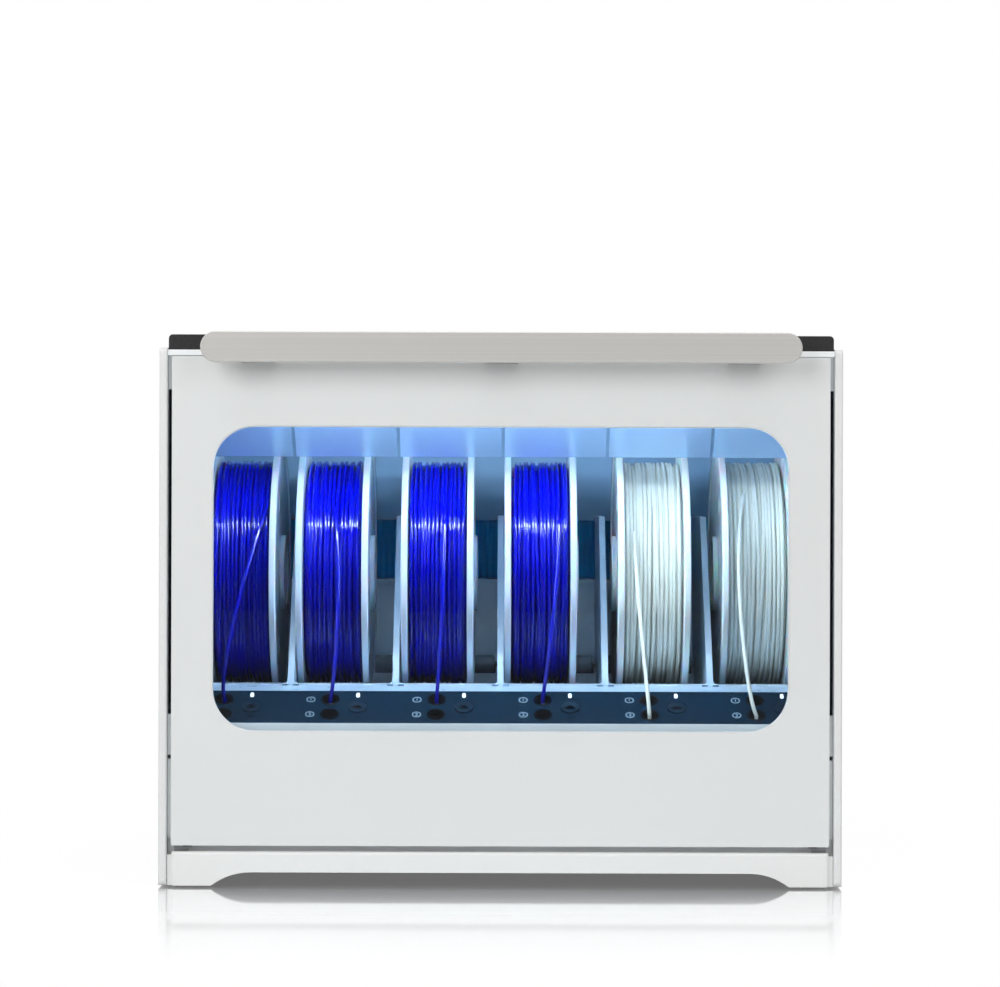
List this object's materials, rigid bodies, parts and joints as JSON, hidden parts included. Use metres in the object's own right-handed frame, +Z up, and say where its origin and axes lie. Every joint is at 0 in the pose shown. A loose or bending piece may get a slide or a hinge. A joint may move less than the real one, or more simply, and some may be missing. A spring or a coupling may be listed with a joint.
{
  "type": "filament dryer box",
  "caption": "Cabinet that dries and stores filament spools in separate bays behind a drop-down window door, with feed inlets and eject buttons on a sloped strip.",
  "frame": {"origin": "on the floor, under the middle of the box that bounds the station", "axes": "+X to the right as seen from the front, +Y to the rear, +Z up; the door and handle face -Y"},
  "size_m": [0.502, 0.457, 0.4076],
  "materials": {
    "white_paint": "fine satin",
    "white_shell": "satin",
    "grey_sheet": "satin",
    "rear_plastic": "satin",
    "black_cover": "fine-grained matte",
    "foot_rubber": "matte",
    "liner": "satin",
    "bay_plastic": "satin",
    "hood_gloss": "glossy",
    "light_bar": "diffusing lens",
    "strip_plastic": "satin",
    "cup_gloss": "glossy",
    "status_lens": "lit lens",
    "feeder_plastic": "satin",
    "duct_plastic": "matte",
    "coupler_plastic": "satin",
    "hinge_steel": "dark",
    "inlet_plastic": "matte",
    "board": "lacquered",
    "door_plastic": "satin, slightly translucent",
    "window_pane": "clear",
    "seal_rubber": "matte",
    "handle_metal": "brushed lengthwise",
    "standoff_metal": "satin",
    "fan_plastic": "matte",
    "spool_white": "translucent gloss",
    "spool_natural": "translucent gloss",
    "filament_blue": "glossy",
    "filament_natural": "glossy, slightly translucent",
    "roller_plastic": "satin",
    "button_plastic": "satin"
  },
  "bodies": {
    "station": {"base_tray": "grey_sheet", "base_fascia": "white_shell", "left_side_panel": "white_paint", "right_side_panel": "white_paint", "rear_panel": "rear_plastic", "top_cover": "black_cover", "front_frame": "white_shell", "rubber_feet": "foot_rubber", "chamber_liner": "liner", "spool_cradle": "bay_plastic", "bay_dividers": "bay_plastic", "bay_hoods": "hood_gloss", "led_bar": "light_bar", "control_panel": "strip_plastic", "inlet_cups": "cup_gloss", "status_lights": "status_lens", "feeder_units": "feeder_plastic", "drying_unit": "duct_plastic", "outlet_couplers": "coupler_plastic", "hinge_brackets": "hinge_steel", "filament_strands": "filament_blue", "power_inlet": "inlet_plastic", "control_board": "board"},
    "door": {"door_panel": "door_plastic", "door_window": "window_pane", "door_gasket": "seal_rubber", "door_handle": "handle_metal", "handle_standoffs": "standoff_metal", "door_hinge_arms": "hinge_steel"},
    "fan": {"fan_rotor": "fan_plastic"},
    "reel_a": {"spool_a": "spool_white", "filament_a": "filament_blue"},
    "front_roll_a": {"front_roller_a": "roller_plastic"},
    "rear_roll_a": {"rear_roller_a": "roller_plastic"},
    "button_a": {"eject_button_a": "button_plastic"},
    "reel_b": {"spool_b": "spool_white", "filament_b": "filament_blue"},
    "front_roll_b": {"front_roller_b": "roller_plastic"},
    "rear_roll_b": {"rear_roller_b": "roller_plastic"},
    "button_b": {"eject_button_b": "button_plastic"},
    "reel_c": {"spool_c": "spool_white", "filament_c": "filament_blue"},
    "front_roll_c": {"front_roller_c": "roller_plastic"},
    "rear_roll_c": {"rear_roller_c": "roller_plastic"},
    "button_c": {"eject_button_c": "button_plastic"},
    "reel_d": {"spool_d": "spool_white", "filament_d": "filament_blue"},
    "front_roll_d": {"front_roller_d": "roller_plastic"},
    "rear_roll_d": {"rear_roller_d": "roller_plastic"},
    "button_d": {"eject_button_d": "button_plastic"},
    "reel_e": {"spool_e": "spool_natural", "filament_e": "filament_natural"},
    "front_roll_e": {"front_roller_e": "roller_plastic"},
    "rear_roll_e": {"rear_roller_e": "roller_plastic"},
    "button_e": {"eject_button_e": "button_plastic"},
    "reel_f": {"spool_f": "spool_natural", "filament_f": "filament_natural"},
    "front_roll_f": {"front_roller_f": "roller_plastic"},
    "rear_roll_f": {"rear_roller_f": "roller_plastic"},
    "button_f": {"eject_button_f": "button_plastic"}
  },
  "joints": [
    {"name": "door_hinge", "type": "hinge", "parent": "station", "child": "door", "pos_m": [0, -0.1985, 0.033], "axis": [1, 0, 0], "range_deg": [0, 90]},
    {"name": "fan_spin", "type": "hinge", "parent": "station", "child": "fan", "pos_m": [0, 0.2065, 0.245], "axis": [0, 1, 0], "continuous": true},
    {"name": "spool_spin_a", "type": "hinge", "parent": "station", "child": "reel_a", "pos_m": [-0.1975, -0.0365, 0.2275], "axis": [1, 0, 0], "continuous": true},
    {"name": "front_roll_a", "type": "hinge", "parent": "station", "child": "front_roll_a", "pos_m": [-0.1975, -0.09171, 0.13561], "axis": [1, 0, 0], "continuous": true},
    {"name": "rear_roll_a", "type": "hinge", "parent": "station", "child": "rear_roll_a", "pos_m": [-0.1975, 0.04061, 0.15303], "axis": [1, 0, 0], "continuous": true},
    {"name": "eject_press_a", "type": "slide", "parent": "station", "child": "button_a", "axis": [0, 0.5373, -0.8434], "range_m": [0, 0.0012], "stiffness_N_per_m": 400},
    {"name": "spool_spin_b", "type": "hinge", "parent": "station", "child": "reel_b", "pos_m": [-0.1277, -0.0365, 0.2275], "axis": [1, 0, 0], "continuous": true},
    {"name": "front_roll_b", "type": "hinge", "parent": "station", "child": "front_roll_b", "pos_m": [-0.1185, -0.09171, 0.13561], "axis": [1, 0, 0], "continuous": true},
    {"name": "rear_roll_b", "type": "hinge", "parent": "station", "child": "rear_roll_b", "pos_m": [-0.1185, 0.04061, 0.15303], "axis": [1, 0, 0], "continuous": true},
    {"name": "eject_press_b", "type": "slide", "parent": "station", "child": "button_b", "axis": [0, 0.5373, -0.8434], "range_m": [0, 0.0012], "stiffness_N_per_m": 400},
    {"name": "spool_spin_c", "type": "hinge", "parent": "station", "child": "reel_c", "pos_m": [-0.048, -0.0365, 0.2275], "axis": [1, 0, 0], "continuous": true},
    {"name": "front_roll_c", "type": "hinge", "parent": "station", "child": "front_roll_c", "pos_m": [-0.0395, -0.09171, 0.13561], "axis": [1, 0, 0], "continuous": true},
    {"name": "rear_roll_c", "type": "hinge", "parent": "station", "child": "rear_roll_c", "pos_m": [-0.0395, 0.04061, 0.15303], "axis": [1, 0, 0], "continuous": true},
    {"name": "eject_press_c", "type": "slide", "parent": "station", "child": "button_c", "axis": [0, 0.5373, -0.8434], "range_m": [0, 0.0012], "stiffness_N_per_m": 400},
    {"name": "spool_spin_d", "type": "hinge", "parent": "station", "child": "reel_d", "pos_m": [0.0303, -0.0365, 0.2275], "axis": [1, 0, 0], "continuous": true},
    {"name": "front_roll_d", "type": "hinge", "parent": "station", "child": "front_roll_d", "pos_m": [0.0395, -0.09171, 0.13561], "axis": [1, 0, 0], "continuous": true},
    {"name": "rear_roll_d", "type": "hinge", "parent": "station", "child": "rear_roll_d", "pos_m": [0.0395, 0.04061, 0.15303], "axis": [1, 0, 0], "continuous": true},
    {"name": "eject_press_d", "type": "slide", "parent": "station", "child": "button_d", "axis": [0, 0.5373, -0.8434], "range_m": [0, 0.0012], "stiffness_N_per_m": 400},
    {"name": "spool_spin_e", "type": "hinge", "parent": "station", "child": "reel_e", "pos_m": [0.1162, -0.0365, 0.2275], "axis": [1, 0, 0], "continuous": true},
    {"name": "front_roll_e", "type": "hinge", "parent": "station", "child": "front_roll_e", "pos_m": [0.1185, -0.09171, 0.13561], "axis": [1, 0, 0], "continuous": true},
    {"name": "rear_roll_e", "type": "hinge", "parent": "station", "child": "rear_roll_e", "pos_m": [0.1185, 0.04061, 0.15303], "axis": [1, 0, 0], "continuous": true},
    {"name": "eject_press_e", "type": "slide", "parent": "station", "child": "button_e", "axis": [0, 0.5373, -0.8434], "range_m": [0, 0.0012], "stiffness_N_per_m": 400},
    {"name": "spool_spin_f", "type": "hinge", "parent": "station", "child": "reel_f", "pos_m": [0.1948, -0.0365, 0.2275], "axis": [1, 0, 0], "continuous": true},
    {"name": "front_roll_f", "type": "hinge", "parent": "station", "child": "front_roll_f", "pos_m": [0.1975, -0.09171, 0.13561], "axis": [1, 0, 0], "continuous": true},
    {"name": "rear_roll_f", "type": "hinge", "parent": "station", "child": "rear_roll_f", "pos_m": [0.1975, 0.04061, 0.15303], "axis": [1, 0, 0], "continuous": true},
    {"name": "eject_press_f", "type": "slide", "parent": "station", "child": "button_f", "axis": [0, 0.5373, -0.8434], "range_m": [0, 0.0012], "stiffness_N_per_m": 400}
  ],
  "couplings": [
    {"joint": "front_roll_a", "follows": "spool_spin_a", "ratio": -14.493},
    {"joint": "rear_roll_a", "follows": "spool_spin_a", "ratio": -14.493},
    {"joint": "front_roll_b", "follows": "spool_spin_b", "ratio": -14.493},
    {"joint": "rear_roll_b", "follows": "spool_spin_b", "ratio": -14.493},
    {"joint": "front_roll_c", "follows": "spool_spin_c", "ratio": -14.493},
    {"joint": "rear_roll_c", "follows": "spool_spin_c", "ratio": -14.493},
    {"joint": "front_roll_d", "follows": "spool_spin_d", "ratio": -14.493},
    {"joint": "rear_roll_d", "follows": "spool_spin_d", "ratio": -14.493},
    {"joint": "front_roll_e", "follows": "spool_spin_e", "ratio": -14.493},
    {"joint": "rear_roll_e", "follows": "spool_spin_e", "ratio": -14.493},
    {"joint": "front_roll_f", "follows": "spool_spin_f", "ratio": -14.493},
    {"joint": "rear_roll_f", "follows": "spool_spin_f", "ratio": -14.493}
  ]
}
